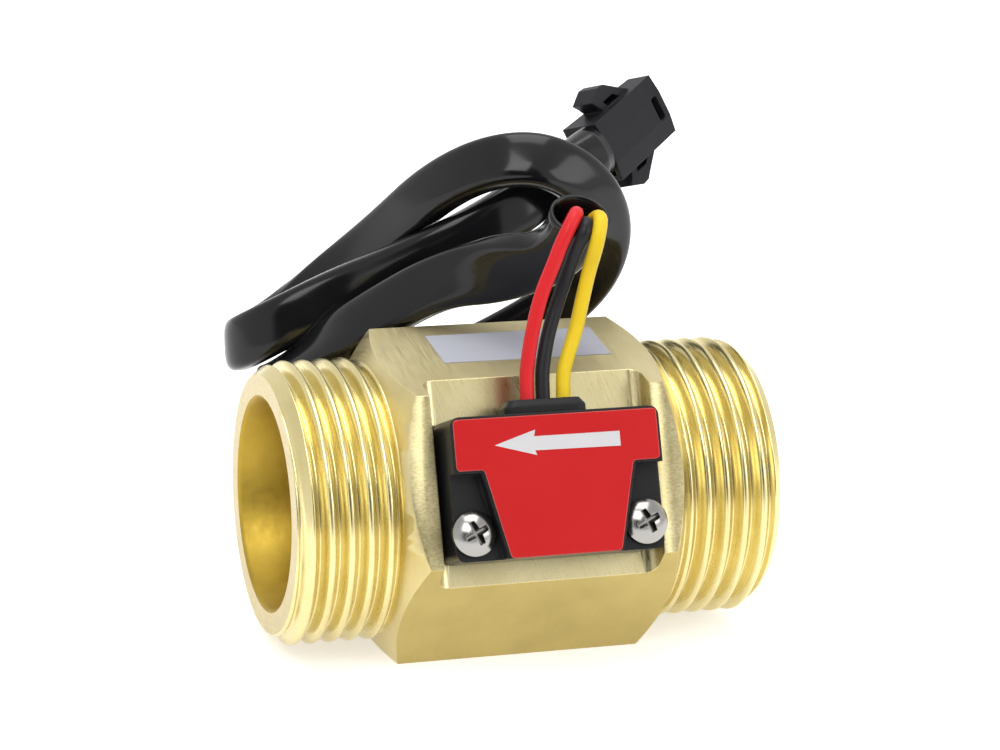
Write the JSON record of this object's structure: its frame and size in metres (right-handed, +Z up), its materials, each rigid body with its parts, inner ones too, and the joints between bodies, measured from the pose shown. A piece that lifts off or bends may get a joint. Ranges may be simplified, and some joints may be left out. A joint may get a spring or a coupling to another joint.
{
  "type": "water flow sensor",
  "caption": "In-line brass water flow sensor with male threaded ends, hexagonal middle, inner turbine rotor, black sensor case and a sleeved lead with a small connector.",
  "frame": {"origin": "centre of the bottom hexagon flat, which it rests on", "axes": "+X along the flow axis towards the inlet end, +Z up out of the top flat, -Y towards the sensor case"},
  "size_m": [0.0601, 0.0594, 0.0569],
  "materials": {
    "brass": "turned and milled brass, satin",
    "support_plastic": "moulded acetal",
    "bush": "moulded bearing bush",
    "spring_steel": "spring steel",
    "rotor_plastic": "moulded plastic",
    "magnet": "sintered ferrite",
    "pin_steel": "ground steel",
    "gasket_rubber": "rubber sheet",
    "case_plastic": "moulded black plastic",
    "board": "green solder mask",
    "chip": "moulded package",
    "capacitor": "ceramic",
    "grommet_rubber": "moulded rubber",
    "screw_steel": "plated steel",
    "label_red": "printed red film",
    "label_grey": "printed blue-grey film",
    "wire_red": "PVC insulation",
    "wire_black": "PVC insulation",
    "wire_yellow": "PVC insulation",
    "sleeve_black": "glossy PVC sleeve",
    "plug_plastic": "moulded black plastic",
    "contact_metal": "tinned metal"
  },
  "bodies": {
    "housing": {"brass_body": "brass", "outlet_support": "support_plastic", "outlet_bush": "bush", "inlet_flow_guide": "support_plastic", "inlet_bush": "bush", "retaining_ring": "spring_steel", "case_gasket": "gasket_rubber", "sensor_case": "case_plastic", "circuit_board": "board", "hall_sensor": "chip", "resistor": "chip", "capacitor": "capacitor", "wire_grommet": "grommet_rubber", "screw_left": "screw_steel", "screw_right": "screw_steel", "face_label": "label_red", "range_label": "label_grey", "red_wire": "wire_red", "black_wire": "wire_black", "yellow_wire": "wire_yellow", "cable_sleeve": "sleeve_black", "plug_housing": "plug_plastic", "contact_red": "contact_metal", "contact_black": "contact_metal", "contact_yellow": "contact_metal"},
    "rotor_unit": {"rotor": "rotor_plastic", "rotor_magnet": "magnet", "rotor_shaft": "pin_steel"}
  },
  "joints": [
    {"name": "rotor_spin", "type": "hinge", "parent": "housing", "child": "rotor_unit", "pos_m": [0, 0, 0.0172], "axis": [1, 0, 0], "continuous": true}
  ]
}
